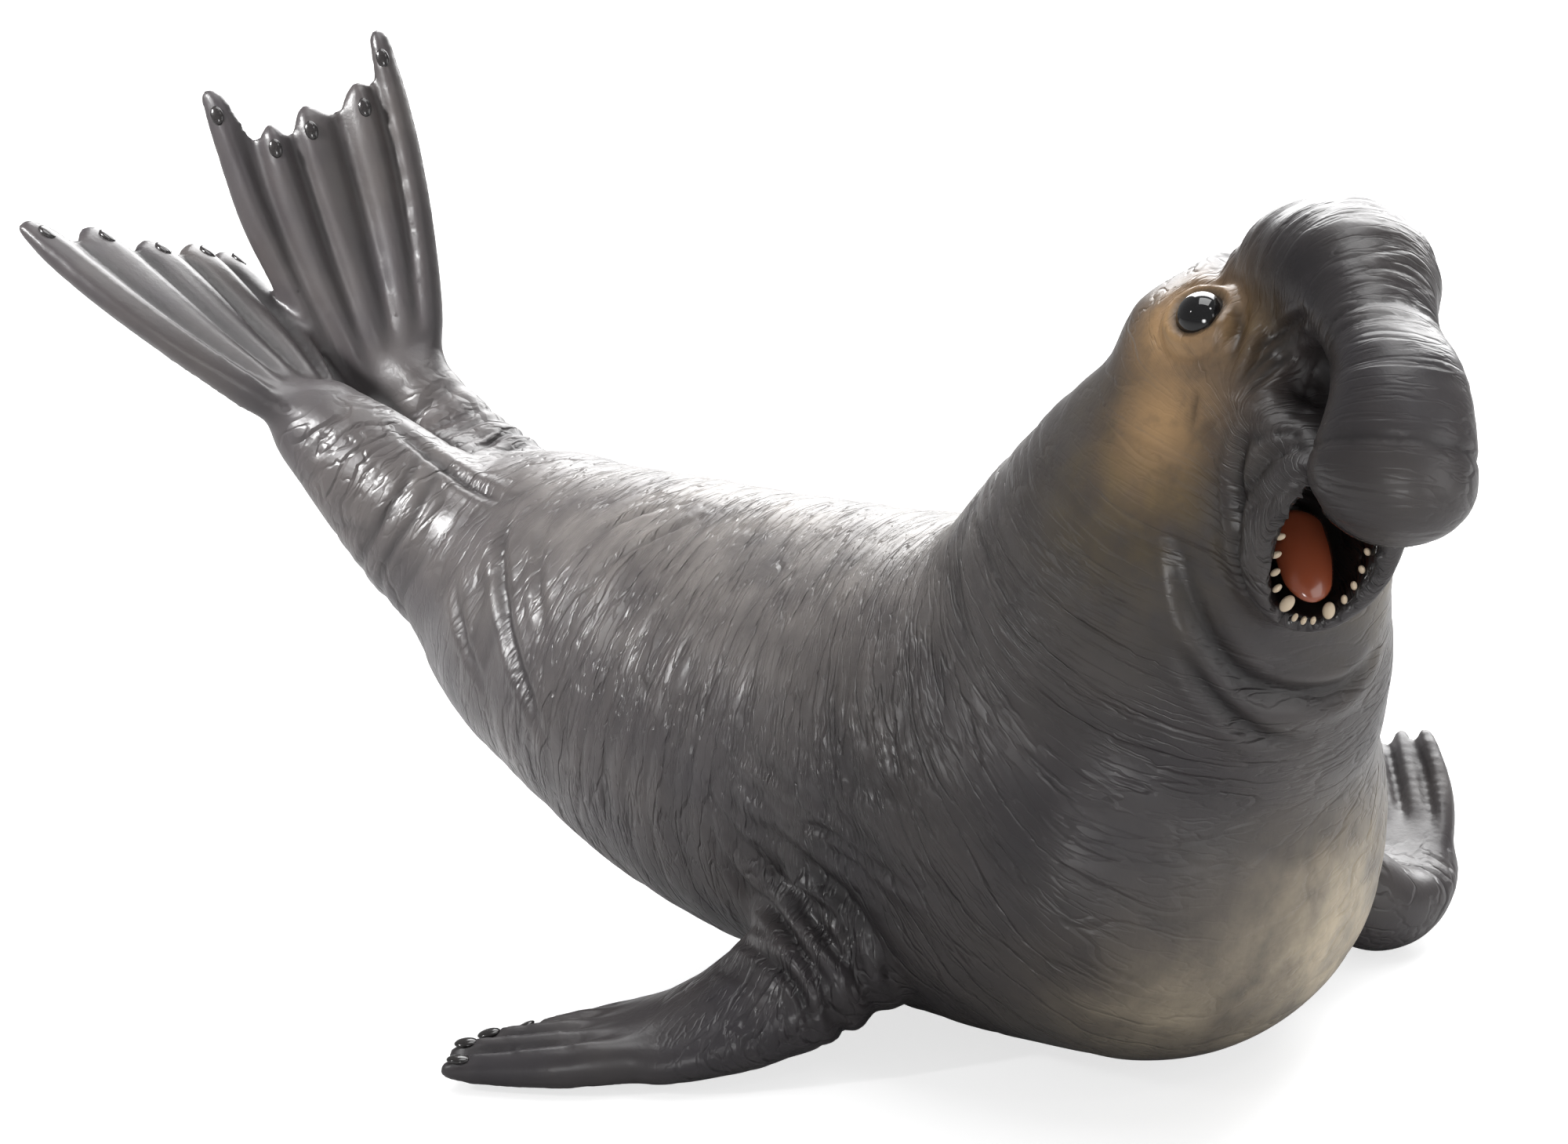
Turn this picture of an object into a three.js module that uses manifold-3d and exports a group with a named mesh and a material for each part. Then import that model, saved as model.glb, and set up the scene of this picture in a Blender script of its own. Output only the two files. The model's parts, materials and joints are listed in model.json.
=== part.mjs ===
// A moulded toy figure of a bull elephant seal, roaring, with its tail end lifted.
// It lies on its chest and its front flippers. Millimetres, +X towards the head, +Y its left, +Z up.
// The origin is on the flat that its chest rests on.
import * as THREE from "three";
import { mergeVertices } from "three/addons/utils/BufferGeometryUtils.js";
import Module from "manifold-3d";

const wasm = await Module();
wasm.setup();

const GAP = 0.3; // between one sub-part and the next
const UP = new THREE.Vector3(0, 0, 1);
const NAPE = new THREE.Vector3(-0.9, 0.45, 0); // the way that the back of the neck faces

// A station of a round form: the middle x, y, z, then half its width, and its height above and below it.
const BODY = [
  [-65, 10.4, 33, 7.6, 7, 9.4],
  [-54, 7.6, 27.2, 12.8, 11.8, 15],
  [-42, 4.8, 22.8, 16, 16.4, 15.9],
  [-27, 2.5, 19.8, 18.9, 19.3, 18.3],
  [-12, 1, 19.5, 21.5, 19.9, 19.8],
  [2, -0.2, 20.3, 23.4, 20, 20.8],
  [15, 0.5, 20.5, 24, 19.5, 20.8],
  [28, 0.5, 23, 22, 19, 21],
];
const NECK = [
  [2, 2.5, 18, 20, 18, 19],
  [11, -1.1, 31, 19.4, 19.5, 18.8],
  [17, -5.4, 43, 14.9, 16.5, 16],
  [21.4, -6.2, 53, 11.8, 12.6, 12.6],
  [22.3, -5, 61, 10.6, 10.5, 10.5],
  [22.3, -4.6, 67, 8, 7.6, 7.6],
];
const TAIL = [
  [-60, 10.2, 33, 3, 2.2, 2.2],
  [-71, 12, 37, 1.6, 1.1, 1.1],
];
const ARM_RIGHT = [
  [-3, -6, 19, 8, 7, 7],
  [-6.5, -14.5, 11.4, 7.4, 6.4, 7.4],
  [-11.4, -21.8, 5.6, 6.8, 4, 5.2],
  [-16.2, -26.8, 3, 6.2, 2.9, 3.2],
  [-20.5, -30, 2.1, 5.4, 2.1, 2.2],
];
const ARM_LEFT = [
  [8, 12, 15, 8, 7, 7],
  [14.5, 19.5, 9.5, 6.4, 5.4, 5.4],
  [19.8, 26, 4.2, 5, 4.2, 4.4],
  [20, 31.5, 4.6, 5, 2.9, 2.9],
  [18, 36, 6.4, 5, 2.2, 2.2],
];
const LEG_RIGHT = [
  [-52, 6, 26, 8.5, 8, 11],
  [-61.5, 2.5, 31, 7, 7.2, 8.8],
  [-69.5, 1, 36.4, 5.2, 5.4, 5.8],
  [-77, 0.3, 42, 4.2, 3.6, 3.6],
];
const LEG_LEFT = [
  [-52, 12, 27, 6.5, 7, 7],
  [-62.5, 15.5, 30.4, 5.4, 5.8, 5.8],
  [-71, 16.4, 35.8, 4.2, 4.6, 4.6],
  [-77, 16, 43, 3.4, 3, 3],
];
// A flipper's blade: the middle of its root, its width there, a toe's width, and the tip of each toe.
const HAND_RIGHT = {
  root: [-16, -26, 2.9], across: [0.55, -0.83, 0], width: 8.4, toe: 2.4, thick: 1.9, bulge: 1,
  tips: [
    [-29.8, -40.2, 1.5],
    [-30.8, -37.8, 1.6],
    [-30.4, -35.2, 1.6],
    [-28.9, -32.5, 1.5],
    [-27, -30, 1.4],
  ],
};
const HAND_LEFT = {
  root: [19.6, 31.5, 4.8], across: [0.85, 0.35, 0.1], width: 7.6, toe: 2.4, thick: 1.9, bulge: 0.9,
  tips: [
    [15.5, 46, 13],
    [13, 47.2, 12],
    [10.6, 46.6, 10.8],
    [8.8, 44.6, 9.4],
    [7.8, 42, 7.8],
  ],
};
const FOOT_RIGHT = {
  root: [-73.5, 0.7, 39.4], across: [0.1, -1, 0.15], width: 6.4, toe: 3.4, thick: 2, bulge: 2,
  tips: [
    [-96.5, -11.6, 57.1],
    [-95.5, -4.8, 55.6],
    [-94, 1.1, 53.5],
    [-93.5, 6.7, 52.3],
    [-94, 11.7, 50.7],
  ],
};
const FOOT_LEFT = {
  root: [-75.1, 15.6, 38.9], across: [-0.72, -0.6, -0.2], width: 5.2, toe: 3.4, thick: 2, bulge: 1.3,
  tips: [
    [-93.5, 10.6, 66.6],
    [-88.2, 12.8, 63.3],
    [-86.3, 15.7, 64.8],
    [-83, 19.7, 66.8],
    [-83.1, 22.4, 71.4],
  ],
};
// The head looks to its right and leans to its left. Its stations are forward, left and up from here.
const HEAD = { at: [22.3, -4.5, 58.1], turn: -44.5, lean: 13 };
const FACE = [
  [0, 0, -3, 10, 9, 11],
  [8, 0, -6.5, 9.2, 8.4, 9.8],
  [14, -0.3, -9.4, 6.9, 7.6, 8],
  [18.4, -0.5, -10.5, 5.3, 7.2, 7.3],
];
const MOUTH = [
  [8, -0.2, -9.5, 2.4, 2.6, 2.6],
  [13, -0.3, -10, 3.1, 4.6, 4.4],
  [17, -0.4, -10.4, 3.6, 5.9, 5.7],
  [22, -0.5, -10.8, 4.1, 6.8, 6.4],
];
const NOSE = [
  [-1.5, 0, 3.2, 5.6, 4.6, 4.6],
  [4.5, 0, 6, 6.8, 5.8, 5.2],
  [11, 0, 7.2, 6.4, 5.6, 5.4],
  [16.8, 0, 5.3, 4.7, 3.8, 4.4],
  [21.8, 0, 1.6, 5.1, 4.9, 4.6],
  [23.8, 0, -3.4, 6.1, 5.8, 5.8],
  [24.6, 0, -8.3, 5.8, 5.6, 5.6],
];
const TONGUE = [
  [10.5, -0.2, -9.6, 2, 1.2, 1.2],
  [14, -0.3, -12, 2.2, 1.3, 1.2],
  [17.2, -0.4, -14.4, 1.5, 0.7, 0.7],
];
const EYE = { at: [5.2, 8.6, 2.2], radius: 1.95 };

// A smoothed value of one column of the stations at u, from 0 at the first to 1 at the last.
function smoothed(stations, column, u) {
  const last = stations.length - 1;
  const at = Math.min(Math.max(u, 0), 1) * last;
  const i = Math.min(Math.floor(at), last - 1);
  const w = at - i;
  const p = (k) => (k < 0 ? 2 * stations[0][column] - stations[1][column]
    : k > last ? 2 * stations[last][column] - stations[last - 1][column] : stations[k][column]);
  const m0 = (p(i + 1) - p(i - 1)) / 2;
  const m1 = (p(i + 2) - p(i)) / 2;
  const d = p(i + 1) - p(i);
  return p(i) + w * (m0 + w * (3 * d - 2 * m0 - m1 + w * (m0 + m1 - 2 * d)));
}

function solid(points, index) {
  const geometry = new THREE.BufferGeometry().setFromPoints(points).setIndex(index);
  const merged = mergeVertices(geometry, 1e-4);
  return new wasm.Manifold(new wasm.Mesh({
    numProp: 3,
    vertProperties: merged.getAttribute("position").array,
    triVerts: new Uint32Array(merged.index.array),
  }));
}

// A solid from one of three's own closed geometries, moved by a matrix.
function shape(geometry, matrix) {
  geometry.deleteAttribute("normal");
  geometry.deleteAttribute("uv");
  const merged = mergeVertices(geometry.applyMatrix4(matrix), 1e-4);
  const at = merged.getAttribute("position");
  const points = Array.from({ length: at.count }, (_, k) => new THREE.Vector3().fromBufferAttribute(at, k));
  const index = Array.from(merged.index.array);
  // the poles of a sphere leave flat triangles, which go
  const kept = [];
  for (let k = 0; k < index.length; k += 3) {
    const [a, b, c] = index.slice(k, k + 3);
    if (a !== b && b !== c && c !== a) kept.push(a, b, c);
  }
  return solid(points, kept);
}

// A closed surface from rings of points and a point at each end, as a solid.
function closed(rings, first, last) {
  const sides = rings[0].length;
  const points = [first, ...rings.flat(), last];
  const index = [];
  rings.forEach((_, k) => {
    for (let i = 0; i < sides; i++) {
      const a = 1 + k * sides + i;
      const b = 1 + k * sides + ((i + 1) % sides);
      if (k === 0) index.push(0, b, a);
      if (k === rings.length - 1) index.push(points.length - 1, a, b);
      else index.push(a, b, b + sides, a, b + sides, a + sides);
    }
  });
  return solid(points, index);
}

// A round form through stations, with rounded ends as long as caps gives, swelled by grow.
function loft(stations, { rings, sides, caps = [5, 5], grow = 0, lift = UP }) {
  const centre = (u) => new THREE.Vector3(...[0, 1, 2].map((c) => smoothed(stations, c, u)));
  const steps = 200;
  const run = [0];
  for (let k = 1; k <= steps; k++) {
    run.push(run[k - 1] + centre(k / steps).distanceTo(centre((k - 1) / steps)));
  }
  const length = run[steps];
  const made = [];
  for (let k = 1; k < rings; k++) {
    const u = (1 - Math.cos((Math.PI * k) / rings)) / 2;
    const s = run[Math.round(u * steps)];
    const near = Math.min(1, s / caps[0], (length - s) / caps[1]);
    const share = Math.sqrt(1 - (1 - near) ** 2);
    const way = centre(Math.min(u + 0.01, 1)).sub(centre(Math.max(u - 0.01, 0))).normalize();
    const side = new THREE.Vector3().crossVectors(lift, way).normalize();
    const up = new THREE.Vector3().crossVectors(way, side);
    const [a, b, c] = [3, 4, 5].map((column) => smoothed(stations, column, u) * share + grow);
    const ring = [];
    for (let i = 0; i < sides; i++) {
      const t = (2 * Math.PI * i) / sides;
      const across = a * Math.cos(t);
      const height = (t < Math.PI ? b : c) * Math.sin(t);
      ring.push(centre(u).addScaledVector(side, across).addScaledVector(up, height));
    }
    made.push(ring);
  }
  return closed(made, centre(0), centre(1));
}

// A flipper's blade: five toes as ridges on both faces of one web, whose edge dips between the tips.
function blade({ root, across, width, toe, thick, bulge, tips }) {
  const base = new THREE.Vector3(...root);
  const side = new THREE.Vector3(...across).normalize();
  const toes = tips.length - 1;
  const margin = 0.4;
  const columns = 24;
  const rows = 9;
  const tip = (v) => new THREE.Vector3(...[0, 1, 2].map((c) => smoothed(tips, c, v / toes)));
  const face = tip(toes / 2).sub(base).cross(side).normalize();
  const path = (v, u) => {
    const from = base.clone().addScaledVector(side, (0.5 - v / toes) * width);
    const to = tip(v);
    const past = v < 0 ? v : Math.max(v - toes, 0);
    const outward = face.clone().cross(to.clone().sub(from)).normalize();
    to.addScaledVector(outward, -past * toe);
    const dip = 0.13 * Math.abs(Math.sin(Math.PI * v)) ** 6;
    const bow = bulge * Math.sin(Math.PI * u) * (1 - (2 * v) / toes);
    return from.lerp(to, u * (1.02 - dip)).addScaledVector(side, bow);
  };
  const layer = (way) => {
    const grid = [];
    for (let k = 0; k <= rows; k++) {
      const u = k / rows;
      for (let j = 0; j <= columns; j++) {
        const v = -margin + (j / columns) * (toes + 2 * margin);
        const ridge = Math.cos(Math.PI * v) ** 2;
        const edge = v < 0 || v > toes ? 0.75 : 1;
        const end = Math.sqrt(1 - Math.max(0, (u - 0.8) / 0.2) ** 2 * 0.85);
        const swell = 0.38 + 0.62 * ridge + 0.3 * (1 - u) * (1 - ridge);
        const half = thick * (1 - 0.35 * u) * swell * end * edge;
        grid.push(path(v, u).addScaledVector(face, way * Math.max(half, 0.28)));
      }
    }
    return grid;
  };
  const points = [...layer(1), ...layer(-1)];
  const count = (rows + 1) * (columns + 1);
  const index = [];
  const quad = (a, b, c, d) => index.push(a, b, c, a, c, d);
  for (let k = 0; k < rows; k++) {
    for (let j = 0; j < columns; j++) {
      const a = k * (columns + 1) + j;
      const d = a + columns + 1;
      index.push(a, a + 1, d + 1, a, d + 1, d);
      index.push(count + a, count + d + 1, count + a + 1, count + a, count + d, count + d + 1);
    }
  }
  const rim = [];
  for (let j = 0; j < columns; j++) rim.push(j);
  for (let k = 0; k < rows; k++) rim.push(k * (columns + 1) + columns);
  for (let j = columns; j > 0; j--) rim.push(rows * (columns + 1) + j);
  for (let k = rows; k > 0; k--) rim.push(k * (columns + 1));
  rim.forEach((a, i) => {
    const b = rim[(i + 1) % rim.length];
    quad(a, count + a, count + b, b);
  });
  const web = solid(points, index);
  const lie = new THREE.Matrix4().makeBasis(side, face, side.clone().cross(face));
  lie.multiply(new THREE.Matrix4().makeScale(0.65, 0.4, 1));
  const nails = tips.map((_, v) => {
    const at = path(v, 0.92).addScaledVector(face, thick * 0.5);
    return shape(new THREE.SphereGeometry(1, 6, 4), lie.clone().setPosition(at));
  });
  return wasm.Manifold.union([web.volume() < 0 ? solid(points, index.reverse()) : web, ...nails]);
}

// The head's own frame: forward, left and up.
const headFrame = (() => {
  const turn = THREE.MathUtils.degToRad(HEAD.turn);
  const lean = THREE.MathUtils.degToRad(HEAD.lean);
  const forward = new THREE.Vector3(Math.cos(turn), Math.sin(turn), 0);
  const level = new THREE.Vector3(-Math.sin(turn), Math.cos(turn), 0);
  const up = UP.clone().multiplyScalar(Math.cos(lean)).addScaledVector(level, Math.sin(lean));
  const left = new THREE.Vector3().crossVectors(up, forward);
  return new THREE.Matrix4().makeBasis(forward, left, up).setPosition(...HEAD.at);
})();
const headUp = new THREE.Vector3().setFromMatrixColumn(headFrame, 2);
const inHead = (p) => new THREE.Vector3(...p).applyMatrix4(headFrame);
const headLoft = (stations, options) => loft(
  stations.map((s) => [...inHead(s.slice(0, 3)).toArray(), ...s.slice(3)]),
  { lift: headUp, ...options },
);

// Everything on the side of a plane that its normal points to, half a gap off the plane.
function beyond(point, normal) {
  const size = 260;
  const n = new THREE.Vector3(...normal).normalize();
  const turn = new THREE.Quaternion().setFromUnitVectors(UP, n);
  const at = new THREE.Vector3(...point).addScaledVector(n, size / 2 + GAP / 2);
  const matrix = new THREE.Matrix4().compose(at, turn, new THREE.Vector3(1, 1, 1));
  return shape(new THREE.BoxGeometry(size, size, size), matrix);
}
const opposite = (normal) => normal.map((n) => -n);
const ball = (point, radius, across = 16) => shape(
  new THREE.SphereGeometry(radius, across, across / 2),
  new THREE.Matrix4().setPosition(...point),
);
const join = (pieces) => wasm.Manifold.union(pieces);

const GREY = 0x4a4548;
const group = new THREE.Group();
function add(name, made, { color = GREY, roughness = 0.5 } = {}) {
  const largest = made.decompose().sort((a, b) => b.volume() - a.volume())[0];
  const mesh = largest.getMesh();
  const geometry = new THREE.BufferGeometry();
  geometry.setAttribute("position", new THREE.BufferAttribute(Float32Array.from(mesh.vertProperties), 3));
  geometry.setIndex(new THREE.BufferAttribute(mesh.triVerts, 1));
  const piece = new THREE.Mesh(geometry, new THREE.MeshStandardMaterial({ color, roughness }));
  piece.name = name;
  group.add(piece);
}

// The body in one, then parted by planes square to its length.
const floor = beyond([0, 0, -GAP / 2], [0, 0, 1]);
const trunk = (grow) => join([
  loft(BODY, { rings: 26, sides: 32, caps: [10, 17], grow }),
  loft(NECK, { rings: 18, sides: 28, caps: [8, 8], grow, lift: NAPE }),
]);
const whole = trunk(0).intersect(floor);
const around = trunk(GAP);
const HIP_CUT = [[-46, 6, 24], [0.95, -0.18, -0.26]];
const SHOULDER_CUT = [[-7, 0, 20], [1, -0.05, 0.02]];
const NECK_CUT = [[13, -3, 37], [0.45, -0.3, 0.84]];
const HEAD_CUT = [[22, -8, 49], [0.53, -0.38, 0.76]];
const part = (from, to) => {
  const low = from ? whole.intersect(beyond(...from)) : whole;
  return to ? low.intersect(beyond(to[0], opposite(to[1]))) : low;
};
add("hips", part(null, HIP_CUT));
add("torso", part(HIP_CUT, SHOULDER_CUT));
add("chest", part(SHOULDER_CUT, NECK_CUT));
add("neck", part(NECK_CUT, HEAD_CUT));

// The head: skull and muzzle, hollowed for the mouth and the eyes, with the jaw parted from it.
const belowHead = beyond(HEAD_CUT[0], opposite(HEAD_CUT[1])).intersect(trunk(GAP));
const nose = headLoft(NOSE, { rings: 18, sides: 20, caps: [4, 5] });
const noseAround = headLoft(NOSE, { rings: 18, sides: 20, caps: [4, 5], grow: GAP });
const mouth = headLoft(MOUTH, { rings: 12, sides: 18, caps: [3, 0.5] });
const eyes = [-1, 1].map((way) => inHead([EYE.at[0], way * EYE.at[1], EYE.at[2]]).toArray());
const sockets = eyes.map((at) => ball(at, EYE.radius + GAP));
const face = headLoft(FACE, { rings: 14, sides: 28, caps: [4, 2.6] });
const skull = join([part(HEAD_CUT, null), face.subtract(belowHead)])
  .subtract(join([mouth, ...sockets]));
const forward = new THREE.Vector3().setFromMatrixColumn(headFrame, 0);
const jawNormal = headUp.clone().addScaledVector(forward, 0.25).toArray();
const JAW_CUT = [inHead([16, 0, -10.8]).toArray(), jawNormal];
const jawBack = [inHead([9.5, 0, -12]).toArray(), forward.clone().addScaledVector(headUp, -0.5).toArray()];
const jawRegion = beyond(JAW_CUT[0], opposite(JAW_CUT[1])).intersect(beyond(...jawBack));
const aboveJaw = beyond(...JAW_CUT);
const behindJaw = beyond(jawBack[0], opposite(jawBack[1]));
add("head", skull.intersect(join([aboveJaw, behindJaw])).subtract(noseAround));
const jaw = skull.intersect(jawRegion);

// The lower teeth ring the front of the jaw: two big canines, three small ones between, four behind each.
// A tooth's place is its angle round the rim from straight down. It leans inward, forward and up.
const TEETH = [[-30, 1.7, 0.52], [30, 1.7, 0.52]];
for (const angle of [-12, 0, 12]) TEETH.push([angle, 1, 0.24]);
for (const angle of [50, 64, 78, 92]) TEETH.push([-angle, 1.2, 0.32], [angle, 1.2, 0.32]);
const teeth = TEETH.map(([angle, height, radius]) => {
  const a = THREE.MathUtils.degToRad(angle);
  const foot = inHead([16.9, -0.4 + 3.45 * Math.sin(a), -10.5 - 5.45 * Math.cos(a)]);
  const way = new THREE.Vector3(0.35, -0.5 * Math.sin(a), 0.4 + 0.5 * Math.cos(a));
  way.transformDirection(headFrame);
  const turn = new THREE.Quaternion().setFromUnitVectors(new THREE.Vector3(0, 1, 0), way);
  const middle = foot.addScaledVector(way, height / 2 - 0.3);
  return shape(
    new THREE.CylinderGeometry(radius * 0.6, radius, height, 8),
    new THREE.Matrix4().compose(middle, turn, new THREE.Vector3(1, 1, 1)),
  );
});
add("lower_jaw", join([jaw, ...teeth]).subtract(join([around.subtract(beyond(...HEAD_CUT)), noseAround])));
add("nose", nose.subtract(around.intersect(beyond([0, 0, -100], [0, 0, 1]))));
const tongue = headLoft(TONGUE, { rings: 12, sides: 14, caps: [1.5, 1.8] });
add("tongue", tongue, { color: 0x8a3b22, roughness: 0.25 });
["right", "left"].forEach((name, i) => {
  add(`eye_${name}`, ball(eyes[i], EYE.radius), { color: 0x080808, roughness: 0.1 });
});

// The tail and the limbs, each cut back to the body by the gap.
const limbShape = { rings: 16, sides: 18, caps: [4, 3] };
const besideTail = [LEG_RIGHT, LEG_LEFT].map((leg) => loft(leg, { ...limbShape, grow: GAP }));
add("tail", loft(TAIL, { rings: 12, sides: 14, caps: [1, 2] }).subtract(join([around, ...besideTail])));
const limb = (name, arm, palm) => add(name, join([loft(arm, limbShape), blade(palm)])
  .subtract(around).intersect(floor));
limb("front_flipper_right", ARM_RIGHT, HAND_RIGHT);
limb("front_flipper_left", ARM_LEFT, HAND_LEFT);
limb("hind_flipper_right", LEG_RIGHT, FOOT_RIGHT);
limb("hind_flipper_left", LEG_LEFT, FOOT_LEFT);

export default group;
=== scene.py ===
# A moulded toy figure of a bull elephant seal, roaring, on a plain pale floor.
import json
import math

import bpy
import numpy as np
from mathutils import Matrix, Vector

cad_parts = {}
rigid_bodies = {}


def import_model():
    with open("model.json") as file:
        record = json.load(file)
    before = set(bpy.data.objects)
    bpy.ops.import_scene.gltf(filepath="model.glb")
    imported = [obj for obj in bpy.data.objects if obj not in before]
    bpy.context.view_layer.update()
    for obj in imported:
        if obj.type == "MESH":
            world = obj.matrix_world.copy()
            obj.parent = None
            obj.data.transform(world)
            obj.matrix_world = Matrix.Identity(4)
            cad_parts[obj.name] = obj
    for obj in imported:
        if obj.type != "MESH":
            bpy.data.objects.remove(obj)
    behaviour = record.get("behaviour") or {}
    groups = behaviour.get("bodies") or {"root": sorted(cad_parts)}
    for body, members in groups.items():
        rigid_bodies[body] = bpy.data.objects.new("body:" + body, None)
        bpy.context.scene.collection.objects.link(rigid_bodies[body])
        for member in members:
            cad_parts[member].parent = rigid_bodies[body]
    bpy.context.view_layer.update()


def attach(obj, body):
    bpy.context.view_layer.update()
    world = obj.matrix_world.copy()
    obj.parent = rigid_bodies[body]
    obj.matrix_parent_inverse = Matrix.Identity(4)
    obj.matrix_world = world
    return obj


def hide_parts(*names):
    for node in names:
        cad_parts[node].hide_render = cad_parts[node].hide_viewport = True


for old in list(bpy.data.objects):
    bpy.data.objects.remove(old)
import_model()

# The camera looks down a little at the figure's right front, as in the photograph.
# Its place is in metres, its pitch and turn in degrees, and its lens and sensor in millimetres.
CAMERA_AT = (0.12666, -0.24042, 0.1145)
CAMERA_PITCH = 74
CAMERA_TURN = 32
LENS = 81
SENSOR = 36
camera_data = bpy.data.cameras.new("camera")
camera_data.lens = LENS
camera_data.sensor_width = SENSOR
camera = bpy.data.objects.new("camera", camera_data)
camera.location = CAMERA_AT
camera.rotation_euler = (math.radians(CAMERA_PITCH), 0, math.radians(CAMERA_TURN))
bpy.context.collection.objects.link(camera)
bpy.context.scene.camera = camera

# The trunk, the neck and the stub of the tail are one moulding of soft grey vinyl with all the flesh.
# Each form is a tube through stations, in millimetres, and the forms are made one further down.
# A station has its middle x, y and z, half its width, and its height above and below the middle.
MM = 0.001
UP = np.array([0.0, 0.0, 1.0])
NAPE = np.array([-0.9, 0.45, 0.0])
BODY = [
    [-65, 10.4, 33, 7.6, 7, 9.4],
    [-54, 7.6, 27.2, 12.8, 11.8, 15],
    [-42, 4.8, 22.8, 16, 16.4, 15.9],
    [-27, 2.5, 19.8, 18.9, 19.3, 18.3],
    [-12, 1, 19.5, 21.5, 19.9, 19.8],
    [2, -0.2, 20.3, 23.4, 20, 20.8],
    [15, 0.5, 20.5, 24, 19.5, 20.8],
    [28, 0.5, 23, 22, 19, 21],
]
NECK = [
    [2, 2.5, 18, 20, 18, 19],
    [11, -1.1, 31, 19.4, 19.5, 18.8],
    [17, -5.4, 43, 14.9, 16.5, 16],
    [21.4, -6.2, 53, 11.8, 12.6, 12.6],
    [22.3, -5, 61, 10.6, 10.5, 10.5],
    [22.3, -4.6, 67, 8, 7.6, 7.6],
]
TAIL = [[-60, 10.2, 33, 3, 2.2, 2.2], [-71, 12, 37, 1.6, 1.1, 1.1]]
RUN_SAMPLES = 401
WAY_STEP = 0.01


def unit(v):
    """A vector, or rows of vectors, made one long."""
    return v / np.maximum(np.linalg.norm(v, axis=-1, keepdims=True), 1e-12)


def smoothed(stations, u):
    """Rows of the stations at u, 0 to 1, on the cubic whose slope at a station is half the step over it."""
    table = np.asarray(stations, float)
    last = len(table) - 1
    padded = np.vstack([2 * table[0] - table[1], table, 2 * table[-1] - table[-2]])
    at = np.clip(u, 0, 1) * last
    i = np.minimum(at.astype(int), last - 1)
    w = (at - i)[:, None]
    before, here, there, after = (padded[i + k] for k in range(4))
    slope_here = (there - before) / 2
    slope_there = (after - here) / 2
    step = there - here
    return here + w * (slope_here + w * (3 * step - 2 * slope_here - slope_there
                                         + w * (slope_here + slope_there - 2 * step)))


def ring_faces(rings, sides):
    """Quads between rings of a tube, and triangles to the point at each end."""
    k, i = np.meshgrid(np.arange(rings - 1), np.arange(sides), indexing="ij")
    a = 1 + k * sides + i
    b = 1 + k * sides + (i + 1) % sides
    quads = np.stack([a, b, b + sides, a + sides], -1).reshape(-1, 4)
    i = np.arange(sides)
    first = np.stack([np.zeros(sides, int), 1 + (i + 1) % sides, 1 + i], -1)
    top = 1 + (rings - 1) * sides
    last = np.stack([np.full(sides, 1 + rings * sides), top + i, top + (i + 1) % sides], -1)
    return quads.tolist() + first.tolist() + last.tolist()


def tube(stations, rings, sides, caps, lift=UP):
    """Rings set square to the smoothed path: width cos t to the side and height sin t up or down,
    shrunk near each end as a quarter circle as long as its cap. The rings stand closer near the ends."""
    samples = np.linspace(0, 1, RUN_SAMPLES)
    u = (1 - np.cos(np.pi * np.arange(1, rings) / rings)) / 2
    fine = smoothed(stations, samples)[:, :3]
    run = np.concatenate([[0], np.cumsum(np.linalg.norm(np.diff(fine, axis=0), axis=1))])
    s = np.interp(u, samples, run)
    to_end = np.minimum(1, np.minimum(s / caps[0], (run[-1] - s) / caps[1]))
    share = np.sqrt(1 - (1 - to_end) ** 2)
    row = smoothed(stations, u)
    beyond = smoothed(stations, np.minimum(u + WAY_STEP, 1))[:, :3]
    behind = smoothed(stations, np.maximum(u - WAY_STEP, 0))[:, :3]
    way = unit(beyond - behind)
    side = unit(np.cross(lift, way))
    up = np.cross(way, side)
    wide, above, below = row[:, 3:].T * share
    t = 2 * np.pi * np.arange(sides) / sides
    high = np.where(t < np.pi, above[:, None], below[:, None]) * np.sin(t)
    points = (row[:, None, :3] + side[:, None] * (wide[:, None] * np.cos(t))[..., None]
              + up[:, None] * high[..., None])
    points = np.vstack([fine[:1], points.reshape(-1, 3), fine[-1:]])
    return points, ring_faces(rings - 1, sides)


forms = [
    tube(BODY, rings=110, sides=120, caps=(10, 17)),
    tube(NECK, rings=90, sides=100, caps=(8, 8), lift=NAPE),
    tube(TAIL, rings=24, sides=32, caps=(1, 2)),
]

# The face and the long hanging nose belong to the same moulding. The head looks to the figure's right
# and leans to its left, so its stations are forward, left and up from a middle of its own.
# The nose rises off the skull, bends down at its front and ends in a heavy bulb.
HEAD_AT = [22.3, -4.5, 58.1]
HEAD_TURN = -44.5
HEAD_LEAN = 13
FACE = [
    [0, 0, -3, 10, 9, 11],
    [8, 0, -6.5, 9.2, 8.4, 9.8],
    [14, -0.3, -9.4, 6.9, 7.6, 8],
    [18.4, -0.5, -10.5, 5.3, 7.2, 7.3],
]
NOSE = [
    [0.2, 0, 3.6, 5.3, 4.8, 4.6],
    [4.5, 0, 6, 6.9, 6.6, 5.2],
    [10.5, 0, 7.2, 6.5, 6, 5.4],
    [16.6, 0, 5, 4.6, 3.5, 4.4],
    [21.8, 0, 1.6, 5.1, 4.9, 4.6],
    [23.8, 0, -3.4, 6.1, 5.8, 5.8],
    [24.6, 0, -8.3, 5.8, 5.6, 5.6],
]
turn = math.radians(HEAD_TURN)
lean = math.radians(HEAD_LEAN)
head_forward = np.array([math.cos(turn), math.sin(turn), 0])
head_up = UP * math.cos(lean) + np.array([-math.sin(turn), math.cos(turn), 0]) * math.sin(lean)
head_left = np.cross(head_up, head_forward)
HEAD_AXES = np.stack([head_forward, head_left, head_up])


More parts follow.
